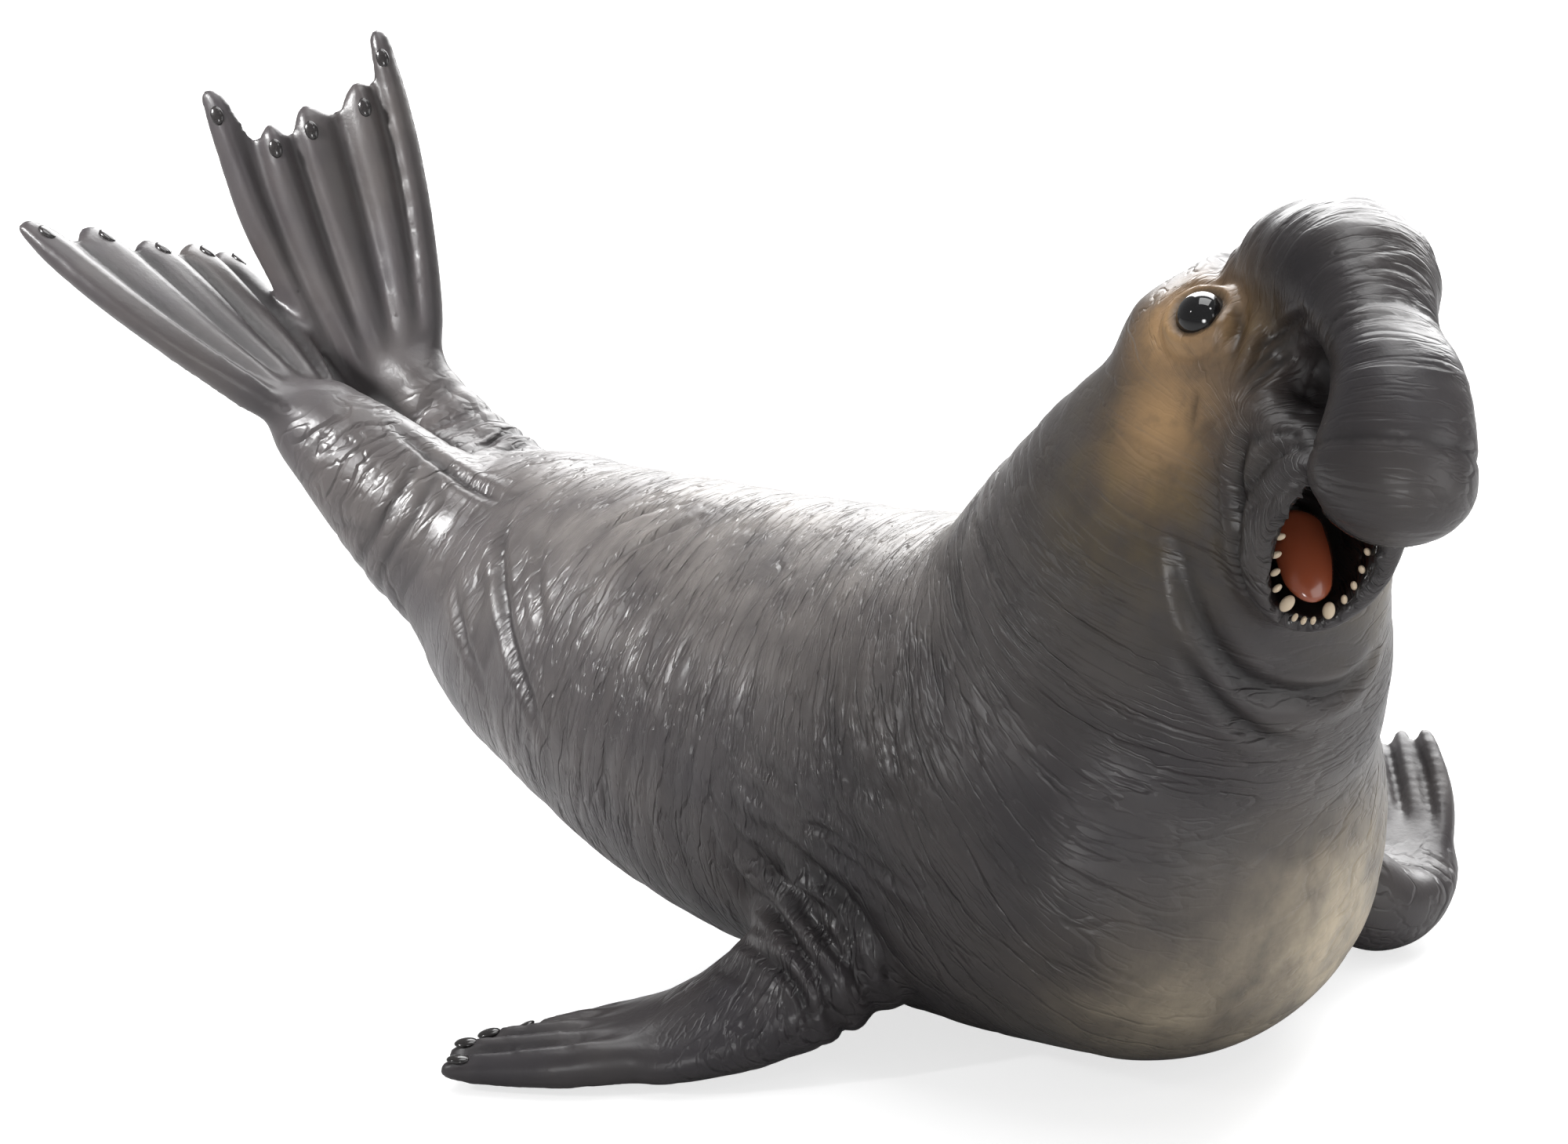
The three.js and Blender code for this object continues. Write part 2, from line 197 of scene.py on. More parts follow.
def in_head(points):
    """Points from the head's forward, left and up to the figure's own millimetres."""
    return np.asarray(points, float) @ HEAD_AXES + HEAD_AT


def to_head(points):
    """Points of the figure, in millimetres, as forward, left and up from the head's middle."""
    return (points - HEAD_AT) @ HEAD_AXES.T


def head_stations(stations):
    """Stations of the head, with their middles moved to the figure's frame."""
    table = np.asarray(stations, float)
    return np.hstack([in_head(table[:, :3]), table[:, 3:]])


forms += [
    tube(head_stations(FACE), rings=60, sides=72, caps=(4, 2.6), lift=head_up),
    tube(head_stations(NOSE), rings=80, sides=80, caps=(4, 5), lift=head_up),
]

# Each front flipper is an arm with a hand, and each hind flipper a leg with a fan of toes.
# An arm or leg is a tube through stations. A blade spreads from the middle of its root, where it has a width
# across, to the tips of five toes in a web. It has a toe's width and thickness, and a sideways bulge.
ARM_RIGHT = [
    [-3, -6, 19, 8, 7, 7],
    [-6.5, -14.5, 11.4, 7.4, 6.4, 7.4],
    [-11.4, -21.8, 5.6, 6.8, 4, 5.2],
    [-16.2, -26.8, 3, 6.2, 2.9, 3.2],
    [-20.5, -30, 2.1, 5.4, 2.1, 2.2],
]
ARM_LEFT = [
    [8, 12, 15, 8, 7, 7],
    [14.5, 19.5, 9.5, 6.4, 5.4, 5.4],
    [19.8, 26, 4.2, 5, 4.2, 4.4],
    [20, 31.5, 4.6, 5, 2.9, 2.9],
    [18, 36, 6.4, 5, 2.2, 2.2],
]
LEG_RIGHT = [
    [-52, 6, 26, 8.5, 8, 11],
    [-61.5, 2.5, 31, 7, 7.2, 8.8],
    [-69.5, 1, 36.4, 5.2, 6.1, 5.8],
    [-77, 0.3, 42, 4.2, 3.6, 3.6],
]
LEG_LEFT = [
    [-52, 12, 27, 6.5, 7, 7],
    [-62.5, 15.5, 30.4, 5.4, 5.8, 5.8],
    [-71, 16.4, 35.8, 4.2, 4.6, 4.6],
    [-77, 16, 43, 3.4, 3, 3],
]
HAND_RIGHT = {
    "root": [-16, -26, 2.9], "across": [0.55, -0.83, 0],
    "tips": [
        [-29.8, -40.2, 1.8], [-30.8, -37.8, 1.8], [-30.4, -35.2, 1.8], [-28.9, -32.5, 1.7], [-27, -30, 1.6],
    ],
    "width": 8.4, "toe": 2.4, "thick": 2.2, "bulge": 1.0,
}
HAND_LEFT = {
    "root": [19.6, 31.5, 4.8], "across": [0.85, 0.35, 0.1],
    "tips": [[15.5, 46, 13], [13, 47.2, 12], [10.6, 46.6, 10.8], [8.8, 44.6, 9.4], [7.8, 42, 7.8]],
    "width": 7.6, "toe": 2.4, "thick": 1.9, "bulge": 0.9,
}
FOOT_RIGHT = {
    "root": [-73.5, 0.7, 39.4], "across": [0.1, -1, 0.15],
    "tips": [
        [-96.5, -11.6, 57.1], [-95.5, -4.8, 55.6], [-94, 1.1, 53.5], [-93.5, 6.7, 52.3], [-94, 11.7, 50.7],
    ],
    "width": 6.4, "toe": 3.4, "thick": 2.0, "bulge": 2.0,
}
FOOT_LEFT = {
    "root": [-75.9, 14.9, 38.7], "across": [-0.72, -0.6, -0.2],
    "tips": [
        [-93.5, 10.6, 66.6], [-88.2, 12.8, 63.3], [-86.3, 15.7, 64.8], [-83, 19.7, 66.8],
        [-83.1, 22.4, 71.4],
    ],
    "width": 7.2, "toe": 3.4, "thick": 2.0, "bulge": 1.3,
}
TOES = 4
# Across a blade v goes from 0 at the first toe to 4 at the last, and a margin past each.
MARGIN = 0.4
TOE_HALF = 0.28
WEB_NOTCH = 0.07
NOTCH_FLATNESS = 0.3
TIP_ROUNDING = 0.04
TIP_REACH = 1.02


def blade_face(blade):
    """The direction that the blade's upper face looks."""
    side = unit(np.array(blade["across"], float))
    middle = smoothed(blade["tips"], np.array([0.5]))[0]
    return unit(np.cross(middle - np.array(blade["root"], float), side))


def toe_path(blade, v, u):
    """The middle of a blade at v across the toes, 0 to 4, and u from the root to the edge of the web.
    It runs straight from root to tip, bowed sideways by a half sine. It keeps a toe's length over the toe,
    stops short between toes by a notch in the square of a sine, and rounds off past the outer toes."""
    base = np.array(blade["root"], float)
    side = unit(np.array(blade["across"], float))
    start = base + side * ((0.5 - v / TOES) * blade["width"])[..., None]
    tips = smoothed(blade["tips"], np.clip(v.ravel() / TOES, 0, 1)).reshape(v.shape + (3,))
    roots = base + side * ((0.5 - np.arange(TOES + 1) / TOES) * blade["width"])[:, None]
    lengths = np.linalg.norm(np.array(blade["tips"], float) - roots, axis=1)
    toe = np.clip(v, 0, TOES - 1e-6).astype(int)
    between = np.clip((np.clip(v, 0, TOES) - toe - TOE_HALF) / (1 - 2 * TOE_HALF), 0, 1)
    between = between * between * (3 - 2 * between)
    length = lengths[toe] * (1 - between) + lengths[toe + 1] * between
    end = start + unit(tips - start) * length[..., None]
    past = np.where(v < 0, v, np.maximum(v - TOES, 0))
    sideways = unit(np.cross(blade_face(blade), end - start))
    end = end - sideways * (past * blade["toe"])[..., None]
    wave = np.sin(np.pi * v) ** 2
    notch = WEB_NOTCH * wave * (1 - NOTCH_FLATNESS * wave)
    dip = np.where(past == 0, notch, TIP_ROUNDING * (past / MARGIN) ** 4)
    bow = blade["bulge"] * np.sin(np.pi * u) * (1 - 2 * v / TOES)
    return start + (end - start) * (u * (TIP_REACH - dip))[..., None] + side * bow[..., None]


RIDGE_POWER = 2.4
RIDGE_SHARE = 0.8
WEB_SHARE = 0.26
PALM_SHARE = 0.35
TAPER = 0.35
EDGE_SHARE = 0.75
TIP_FROM = 0.8
TIP_THINNING = 0.85
THINNEST = 0.28


def blade_half(blade, v, u):
    """Half the blade's thickness: a ridge along each toe, a power of a cosine, on a thinner web.
    The web is thicker toward the palm, the whole tapers, and the tips round off as an ellipse."""
    ridge = np.abs(np.cos(np.pi * v)) ** RIDGE_POWER
    edge = np.where((v < 0) | (v > TOES), EDGE_SHARE, 1)
    end = np.sqrt(1 - TIP_THINNING * np.maximum(0, (u - TIP_FROM) / (1 - TIP_FROM)) ** 2)
    swell = WEB_SHARE + RIDGE_SHARE * ridge + PALM_SHARE * (1 - u) * (1 - ridge)
    half = blade["thick"] * (1 - TAPER * u) * swell * end * edge
    return np.maximum(half, THINNEST)


def web(blade, rows=60, columns=120):
    """Two like grids a blade's thickness apart, joined round their rim."""
    u, v = np.meshgrid(np.linspace(0, 1, rows), np.linspace(-MARGIN, TOES + MARGIN, columns), indexing="ij")
    middle = toe_path(blade, v, u)
    off = blade_face(blade) * blade_half(blade, v, u)[..., None]
    points = np.vstack([(middle + off).reshape(-1, 3), (middle - off).reshape(-1, 3)])
    k, j = np.meshgrid(np.arange(rows - 1), np.arange(columns - 1), indexing="ij")
    a = k * columns + j
    top = np.stack([a, a + 1, a + columns + 1, a + columns], -1).reshape(-1, 4)
    count = rows * columns
    rim = np.concatenate([
        np.arange(columns),
        np.arange(2, rows + 1) * columns - 1,
        (rows - 1) * columns + np.arange(columns - 2, -1, -1),
        np.arange(rows - 2, 0, -1) * columns,
    ])
    after = np.roll(rim, -1)
    sides = np.stack([rim, rim + count, after + count, after], -1)
    return points, top.tolist() + (top[:, ::-1] + count).tolist() + sides.tolist()


limbs = [(ARM_RIGHT, HAND_RIGHT), (ARM_LEFT, HAND_LEFT), (LEG_RIGHT, FOOT_RIGHT), (LEG_LEFT, FOOT_LEFT)]
for bone, blade in limbs:
    forms.append(tube(bone, rings=60, sides=60, caps=(4, 3)))
    forms.append(web(blade))

# The figure is one moulding, so a mesh of voxels of 0.4 mm makes one skin of the forms, with no seams.
# Where the sculptor ran two forms together, at a middle and as far as a reach, the skin is drawn smooth.
VOXEL = 0.0004
FIRST_ROUNDS = 3
BLEND_ROUNDS = 260
BLENDS = [
    ([14, 0, 34], 17),
    ([-5, -12, 14], 9),
    ([11, 16, 11], 7),
    ([-57, 3, 29], 9),
    ([-57, 14, 29], 8),
    ([-18, -28, 3], 3.5),
    ([19, 33, 5], 3),
    ([-74, 0, 40], 3),
    ([-75, 16, 40], 3),
]
HEAD_BLENDS = [
    ([-7, 0, -3], 6),
    ([3, -8, -6], 7),
    ([3, 8, -6], 7),
    ([13, -4, 3], 2.5),
    ([13, 4, 3], 2.5),
]


def mesh_object(name, points, faces):
    """A mesh object at the origin from points in millimetres."""
    mesh = bpy.data.meshes.new(name)
    mesh.from_pydata((np.asarray(points) * MM).tolist(), [], faces)
    mesh.validate()
    made = bpy.data.objects.new(name, mesh)
    bpy.context.collection.objects.link(made)
    return made


def joined(pieces):
    """Several pieces of points and faces as one."""
    points, faces, count = [], [], 0
    for piece_points, piece_faces in pieces:
        points.append(piece_points)
        faces += [[i + count for i in face] for face in piece_faces]
        count += len(piece_points)
    return np.vstack(points), faces


def bake_modifiers(made):
    """The object's mesh with its modifiers applied."""
    graph = bpy.context.evaluated_depsgraph_get()
    done = bpy.data.meshes.new_from_object(made.evaluated_get(graph))
    made.modifiers.clear()
    old = made.data
    made.data = done
    bpy.data.meshes.remove(old)


def positions(made):
    """The mesh's points in millimetres."""
    flat = np.empty(len(made.data.vertices) * 3)
    made.data.vertices.foreach_get("co", flat)
    return flat.reshape(-1, 3) / MM


def put(made, points):
    """Points in millimetres set back into the mesh."""
    made.data.vertices.foreach_set("co", (points * MM).ravel())
    made.data.update()


def normals(made):
    """The outward direction at each point of the mesh."""
    flat = np.empty(len(made.data.vertices) * 3)
    made.data.vertex_normals.foreach_get("vector", flat)
    return flat.reshape(-1, 3)


def remeshed(made, voxel):
    """The object's outer surface as one closed mesh of even small quads."""
    remesh = made.modifiers.new("one_moulding", "REMESH")
    remesh.mode = "VOXEL"
    remesh.voxel_size = voxel
    bake_modifiers(made)


def edge_pairs(made):
    """The two ends of each edge of the mesh."""
    flat = np.empty(len(made.data.edges) * 2, int)
    made.data.edges.foreach_get("vertices", flat)
    return flat.reshape(-1, 2)


def relaxed(points, edges, weight, rounds):
    """Each point drawn by half its weight toward the middle of its neighbours, so many rounds."""
    ends = np.concatenate([edges[:, 0], edges[:, 1]])
    others = np.concatenate([edges[:, 1], edges[:, 0]])
    count = np.maximum(np.bincount(ends, minlength=len(points)), 1)
    pull = (0.5 * weight)[:, None]
    for _ in range(rounds):
        middle = np.stack([np.bincount(ends, points[others, k], len(points)) for k in range(3)], 1)
        points = points + pull * (middle / count[:, None] - points)
    return points


def bell(x):
    """One at zero, falling off on both sides as exp(-x^2)."""
    return np.exp(-x ** 2)


def near(points, middle, reach):
    """One at the middle, falling off as a bell as wide as the reach."""
    away = np.linalg.norm((points - np.array(middle, float)) / np.array(reach, float), axis=1)
    return bell(away)


skin = mesh_object("skin", *joined(forms))
remeshed(skin, VOXEL)
points = positions(skin)
edges = edge_pairs(skin)
points = relaxed(points, edges, np.ones(len(points)), FIRST_ROUNDS)
weight = np.zeros(len(points))
for middle, reach in BLENDS + [(in_head(at), reach) for at, reach in HEAD_BLENDS]:
    weight = np.maximum(weight, near(points, middle, reach))
points = relaxed(points, edges, weight, BLEND_ROUNDS)
put(skin, points)

# The open mouth is a hollow in the moulding, wider and higher toward the lips.
MOUTH = [
    [8, -0.2, -9.5, 2.4, 2.6, 2.6],
    [13, -0.3, -10, 3.1, 4.6, 4.4],
    [17, -0.4, -10.4, 3.6, 5.9, 5.7],
    [22, -0.5, -10.8, 4.1, 6.8, 6.4],
]
AFTER_CUT_ROUNDS = 2


def cut_away(made, cutter):
    """The object with a closed cutter's room taken out of it."""
    cut = made.modifiers.new("cut", "BOOLEAN")
    cut.operation = "DIFFERENCE"
    cut.solver = "EXACT"
    cut.object = cutter
    bake_modifiers(made)
    bpy.data.objects.remove(cutter)


mouth_room = tube(head_stations(MOUTH), rings=60, sides=72, caps=(3, 0.5), lift=head_up)
cut_away(skin, mesh_object("mouth_room", *mouth_room))
remeshed(skin, VOXEL)
points = positions(skin)
points = relaxed(points, edge_pairs(skin), np.ones(len(points)), AFTER_CUT_ROUNDS)
put(skin, points)
bpy.context.view_layer.update()

# The sculptor's tools left wrinkles, folds and lids in the moulding. They are gathered here as a rise of
# each point along its outward direction, and as a painted shade from 0 to 1, which darkens the grey where
# shade falls in them.
# What is alike on both sides of the head is worked out on its mirrored points.
SWELL_HEIGHT = 0.5
SWELL_SIZE = 9
CELLS = 48
LATTICE = np.random.default_rng(11).random((CELLS, CELLS, CELLS))


def noise(at):
    """Smooth values from 0 to 1, on a lattice of seeded random ones a unit apart."""
    cell = np.floor(at).astype(int)
    w = at - cell
    w = w * w * (3 - 2 * w)
    total = np.zeros(len(at))
    for corner in np.ndindex(2, 2, 2):
        i = (cell + corner) % CELLS
        share = np.prod(np.where(corner, w, 1 - w), axis=1)
        total += share * LATTICE[i[:, 0], i[:, 1], i[:, 2]]
    return total


def both_sides(head):
    """Points of the head with those on its right moved to its left."""
    folded = head.copy()
    folded[:, 1] = np.abs(head[:, 1])
    return folded


outward = normals(skin)
head = to_head(points)
mirrored = both_sides(head)
rise = SWELL_HEIGHT * (noise(points / SWELL_SIZE) - 0.5)
painted_shade = np.zeros(len(points))

# Wrinkles run across the trunk, the neck and the limbs, close and shallow, and deeper round the arms.
# Each row has the path that they cross and its reach, their spacing, width and depth, and the places, each a
# middle and a size, where they are deepest.
SPINE = [
    [-66, 10, 33], [-42, 4.8, 22.8], [-12, 1, 19.5], [8, -0.5, 25],
    [16, -4, 40], [21, -6, 53], [22.3, -5, 66],
]
SPINE_REACH = 9
LIMB_REACH = 5
HIPS = [([-50, -3, 30], [10, 14, 14]), ([-50, 16, 28], [9, 10, 12])]
SHOULDERS = [([3, -9, 42], [10, 14, 10]), ([-3, -20, 28], [9, 9, 9]), ([3, 14, 40], [10, 10, 10])]
FLANKS = [([-2, -20, 29], [12, 9, 12]), ([-30, -6, 30], [18, 16, 14]), ([-30, 12, 30], [18, 14, 14])]
WRINKLES = [
    (SPINE, SPINE_REACH, 1.7, 9, 0.2, [([-20, 0, 22], [60, 40, 40])]),
    (SPINE, SPINE_REACH, 2.6, 11, 0.25, HIPS),
    (SPINE, SPINE_REACH, 2.4, 12, 0.3, SHOULDERS),
    (SPINE, SPINE_REACH, 1, 7, 0.2, FLANKS),
    (ARM_RIGHT, LIMB_REACH, 3, 10, 0.6, [([-8, -21, 13], [9, 7, 9])]),
    (ARM_RIGHT, LIMB_REACH, 1.5, 6, 0.4, [([-7, -20, 14], [11, 9, 11])]),
    (ARM_LEFT, LIMB_REACH, 3, 12, 0.5, [([17, 22, 8], [7, 8, 8])]),
    (LEG_RIGHT, LIMB_REACH, 1.9, 7, 0.3, [([-66, 0, 34], [9, 9, 9])]),
    (LEG_LEFT, LIMB_REACH, 1.9, 7, 0.4, [([-68, 17, 33], [10, 9, 9])]),
]
WRINKLE_DARKNESS = 2.5
WANDER = 1.5
WANDER_SIZE = 6
SEED_STEP = 3.7
SHARPNESS = 3


def run_along(points, path, reach):
    """How far along a path each point lies: the path's mean run, weighted by a bell of the distance."""
    fine = smoothed(path, np.linspace(0, 1, 48))[:, :3]
    run = np.concatenate([[0], np.cumsum(np.linalg.norm(np.diff(fine, axis=0), axis=1))])
    away = np.stack([np.linalg.norm(points - at, axis=1) for at in fine], 1)
    weight = np.exp(-((away ** 2) - (away.min(axis=1, keepdims=True) ** 2)) / (2 * reach ** 2))
    return weight @ run / weight.sum(axis=1)


def wrinkles(points, run, spacing, width, seed):
    """Narrow creases, 0 to 1 deep, across the run: the ridges of noise drawn out sideways."""
    wander = run + WANDER * spacing * noise(points / WANDER_SIZE + seed)
    at = np.column_stack([wander / spacing, points[:, 1] / width, points[:, 2] / width]) + SEED_STEP * seed
    return (1 - np.abs(2 * noise(at) - 1)) ** SHARPNESS


trunk_run = run_along(points, SPINE, SPINE_REACH)
for seed, (path, reach, spacing, width, depth, spots) in enumerate(WRINKLES):
    run = trunk_run if path is SPINE else run_along(points, path, reach)
    share = np.max([near(points, middle, size) for middle, size in spots], axis=0)
    cut = share * wrinkles(points, run, spacing, width, seed)
    rise -= depth * cut
    # Painted shade darkens the grey in each wrinkle.
    painted_shade = np.maximum(painted_shade, cut * min(1, depth * WRINKLE_DARKNESS))

# Deep folds ring the limbs where they bend. Each row has the limb, the folds' runs along it, their width and
# depth, and the middle and size of their place. The banks beside a fold rise by a share of its depth.
RINGS = [
    (ARM_RIGHT, [4.5, 6.6, 8.6, 11, 12.8, 15.2, 17.4, 20], 0.55, 0.75, ([-8.5, -19, 12], [9, 10, 10])),
    (ARM_LEFT, [5, 8, 11], 0.6, 0.5, ([17, 22, 8], [6, 7, 8])),
    (LEG_RIGHT, [8, 10.2, 12.8, 15], 0.4, 0.25, ([-64, -1, 32], [8, 8, 8])),
    (LEG_LEFT, [9, 11, 13.5, 16], 0.45, 0.4, ([-67, 16, 34], [8, 8, 8])),
]
RING_WANDER = 1.8
RING_WANDER_SIZE = 5
BANK_SHARE = 0.4
for path, runs, width, depth, (middle, size) in RINGS:
    wander = run_along(points, path, LIMB_REACH) + RING_WANDER * (noise(points / RING_WANDER_SIZE) - 0.5)
    away = np.min([np.abs(wander - run) for run in runs], axis=0)
    share = near(points, middle, size)
    rise -= depth * share * (bell(away / width) - BANK_SHARE * bell((away - 2 * width) / width))
    # Painted shade darkens the grey in each fold.
    painted_shade = np.maximum(painted_shade, share * bell(away / width))

# Fine wrinkles cross the nose, a deep crease parts its root from the skull, and the seam of the mould
# shows as a thin line round its bulb.
NOSE_RUN = [
    [-6, 0, 0], [0, 0, 4], [6, 0, 6], [12, 0, 6], [17.5, 0, 4], [21, 0, 0], [23, 0, -4], [23.5, 0, -10],
]
NOSE_REACH = 3
NOSE_WRINKLES = [
    (1.0, 5, 0.32, [([4, 0, 11], [9, 11, 7]), ([18, 0, 5], [4, 9, 6])]),
    (1.8, 6, 0.22, [([14, 0, 6], [16, 12, 12])]),
]
NOSE_SEED = 20
# The crease is this many of the nose's radii from its middle, and the seam at this run along the nose.
ROOT_OFF = 1.16
ROOT_WIDTH = 0.09
ROOT_DEPTH = 1.1
SEAM_RUN = 33.5
SEAM_WIDTH = 0.22
SEAM_DEPTH = 0.18
BULB_FROM = 18
BULB_RADII = 1.3
ROOT_AT = [-1, 5, 7.5]
ROOT_SIZE = [5, 4.5, 5]
LINE_DARKNESS = 0.5
nose_run = run_along(head, NOSE_RUN, NOSE_REACH)
nose_middle = smoothed(NOSE, np.linspace(0, 1, 60))
radii_off = np.min([np.linalg.norm(head - row[:3], axis=1) / row[3:5].mean() for row in nose_middle], axis=0)
root = bell((radii_off - ROOT_OFF) / ROOT_WIDTH) * near(mirrored, ROOT_AT, ROOT_SIZE)
rise -= ROOT_DEPTH * root
# Painted shade darkens the crease at the nose's root.
painted_shade = np.maximum(painted_shade, LINE_DARKNESS * root)
seam = bell((nose_run - SEAM_RUN) / SEAM_WIDTH) * (head[:, 0] > BULB_FROM) * (radii_off < BULB_RADII)
rise -= SEAM_DEPTH * seam
# Painted shade darkens the seam of the mould.
painted_shade = np.maximum(painted_shade, LINE_DARKNESS * seam)
for seed, (spacing, width, depth, spots) in enumerate(NOSE_WRINKLES):
    share = np.max([near(head, middle, size) for middle, size in spots], axis=0)
    cut = share * wrinkles(head, nose_run, spacing, width, NOSE_SEED + seed)
    rise -= depth * cut
    # Painted shade darkens the grey in the nose's wrinkles.
    painted_shade = np.maximum(painted_shade, cut * min(1, depth * WRINKLE_DARKNESS))

# The deepest folds are grooves that the sculptor drew one by one, each with its path, width and depth.
# These are on the hip, between the legs, on the loin, on the shoulder and on the arm.
FOLDS = [
    ([[-50.5, -1.5, 36], [-48, -7, 31.5], [-43, -11.5, 24.5], [-39.5, -13, 20]], 0.7, 0.5),
    ([[-46, -2.5, 36], [-43.5, -7.5, 32.5], [-40.5, -11, 28]], 0.6, 0.3),
    ([[-53.5, -6, 29.5], [-51.5, -8.5, 25.5], [-48.5, -10, 21.5]], 0.6, 0.35),
    ([[-64.5, 0.5, 40], [-58, 0.5, 37], [-52, -1, 35.5]], 0.6, 0.6),
    ([[-39.5, -6, 35], [-37.5, -4, 37], [-34.5, -1.5, 38]], 0.4, 0.35),
    ([[-36.5, -8.5, 33.5], [-33.5, -6, 36], [-30, -3, 37.5]], 0.4, 0.35),
    ([[-10, -21.5, 20], [-5, -22.5, 20], [3, -23.5, 17]], 0.4, 0.4),
    ([[-13, -20, 14], [-8, -21.5, 14], [-4, -22, 12], [-2.5, -21.5, 8.5]], 0.45, 0.6),
    ([[-14.5, -20.5, 9], [-9.5, -24, 9.5], [-6.5, -25, 8], [-5.5, -24.5, 4.5]], 0.45, 0.6),
]
# These are in the head's own directions: by the eye, under the nose's root, on the cheek and beside the lip.
# Each is made on both sides.
HEAD_FOLDS = [
    ([[6.5, 7, 4], [8.5, 7, 2], [9.5, 7.5, -0.5]], 0.55, 0.6),
    ([[13.5, 4.5, 5], [10, 5, 2.5], [10, 6.5, 0.5]], 0.45, 0.7),
    ([[12.5, 4, 3.5], [10.5, 5.5, 1], [10.5, 7, -1.5]], 0.45, 0.7),
    ([[11, 3.5, 2], [11, 5, 0.5], [11, 6.5, -2]], 0.4, 0.6),
    ([[8.5, 9, -2.5], [9, 9, -5]], 0.25, 0.3),
    ([[11, 7.5, -3.5], [10, 8.5, -5.5]], 0.2, 0.15),
    ([[13, 6.5, -3.5], [14, 7, -6.5], [15, 7, -9], [15.5, 6, -11.5]], 0.55, 0.8),
]
# Rings of folds under the jaw, from its right round to its left.
THROAT_FOLDS = [
    ([[9.5, -8, -13], [11, -5.5, -18.5], [11, -0.5, -22.5], [9, 7, -22.5], [7, 10.5, -20.5]], 0.9, 0.8),
    ([[10, -6, -21], [10.5, -3.5, -23.5], [10, 1.5, -26.5], [8.5, 6, -27]], 0.7, 0.6),
]
FOLD_DARKNESS = 1.6
FOLD_POINTS = 60
END_SHARE = 0.02
OTHER_SIDE = [1, -1, 1]


def groove(points, path, width):
    """A groove along a smoothed path, 1 deep and tapering to its ends, and the banks on both sides of it."""
    fine = smoothed(path, np.linspace(0, 1, FOLD_POINTS))
    reach = 4 * width
    close = np.all((points > fine.min(axis=0) - reach) & (points < fine.max(axis=0) + reach), axis=1)
    away = np.linalg.norm(points[close][:, None] - fine, axis=2)
    along = away.argmin(axis=1) / (FOLD_POINTS - 1)
    taper = np.sqrt(np.sin(np.pi * np.clip(along, END_SHARE, 1 - END_SHARE)))
    away = away.min(axis=1)
    cut = np.zeros(len(points))
    banks = np.zeros(len(points))
    cut[close] = taper * bell(away / width)
    banks[close] = taper * bell((away - 2 * width) / width)
    return cut, banks


def laid_on_skin(path):
    """Points along a smoothed path, each moved to the nearest place on the skin, in millimetres."""
    fine = smoothed(path, np.linspace(0, 1, FOLD_POINTS))
    return np.array([skin.closest_point_on_mesh(Vector(at * MM))[1] for at in fine]) / MM


laid = [(points, laid_on_skin(path), width, depth) for path, width, depth in FOLDS]
for path, width, depth in HEAD_FOLDS:
    on_right = to_head(laid_on_skin(in_head(np.array(path) * OTHER_SIDE)))
    laid.append((mirrored, on_right * OTHER_SIDE, width, depth))
for path, width, depth in THROAT_FOLDS:
    laid.append((head, to_head(laid_on_skin(in_head(path))), width, depth))
for where, path, width, depth in laid:
    cut, banks = groove(where, path, width)
    rise += depth * (BANK_SHARE * banks - cut)
    # Painted shade darkens the grey in each groove.
    painted_shade = np.maximum(painted_shade, cut * min(1, depth * FOLD_DARKNESS))

# A fat roll of lip goes round the mouth, below and in front of the nose's root, with a groove outside it.
# The lip's inner rim is an ellipse, and the roll and the groove are so far off it.
LIP_RIM = [17.4, -0.4, -10.4]
LIP_HALF = [3.8, 6.1]
ROLL_OFF = 1.2
ROLL_WIDTH = 1.1
ROLL_HEIGHT = 0.9
LIP_GROOVE_OFF = 3.3
LIP_GROOVE_WIDTH = 0.5
LIP_GROOVE_DEPTH = 0.5
LIP_GROOVE_DARKNESS = 0.7
RIM_WIDTH = 0.6
RIM_DARKNESS = 0.9
LIP_TOP = -4.5
LIP_TOP_SOFTNESS = 0.6
LIP_BACK = 12
LIP_BACK_SOFTNESS = 0.8
OUTSIDE_FROM = 0.95


def ramp(x):
    """From zero to one as x goes from well below zero to well above it: 1 / (1 + exp(-x))."""
    return 1 / (1 + np.exp(-x))


sideways = (head[:, 1] - LIP_RIM[1]) / LIP_HALF[0]
upward = (head[:, 2] - LIP_RIM[2]) / LIP_HALF[1]
around = np.arctan2(upward, sideways)
rim = np.column_stack([
    np.full(len(head), LIP_RIM[0]),
    LIP_RIM[1] + LIP_HALF[0] * np.cos(around),
    LIP_RIM[2] + LIP_HALF[1] * np.sin(around),
])
off_rim = np.linalg.norm(head - rim, axis=1)
outside = sideways ** 2 + upward ** 2 > OUTSIDE_FROM
at_lip = ramp((LIP_TOP - head[:, 2]) / LIP_TOP_SOFTNESS) * ramp((head[:, 0] - LIP_BACK) / LIP_BACK_SOFTNESS)
lip_groove = bell((off_rim - LIP_GROOVE_OFF) / LIP_GROOVE_WIDTH)
roll = bell((off_rim - ROLL_OFF) / ROLL_WIDTH)
rise += at_lip * outside * (ROLL_HEIGHT * roll - LIP_GROOVE_DEPTH * lip_groove)
# Painted shade darkens the groove outside the roll and the lip's inner rim.
painted_shade = np.maximum(painted_shade, at_lip * outside * LIP_GROOVE_DARKNESS * lip_groove)
painted_shade = np.maximum(painted_shade, at_lip * RIM_DARKNESS * bell(off_rim / RIM_WIDTH))

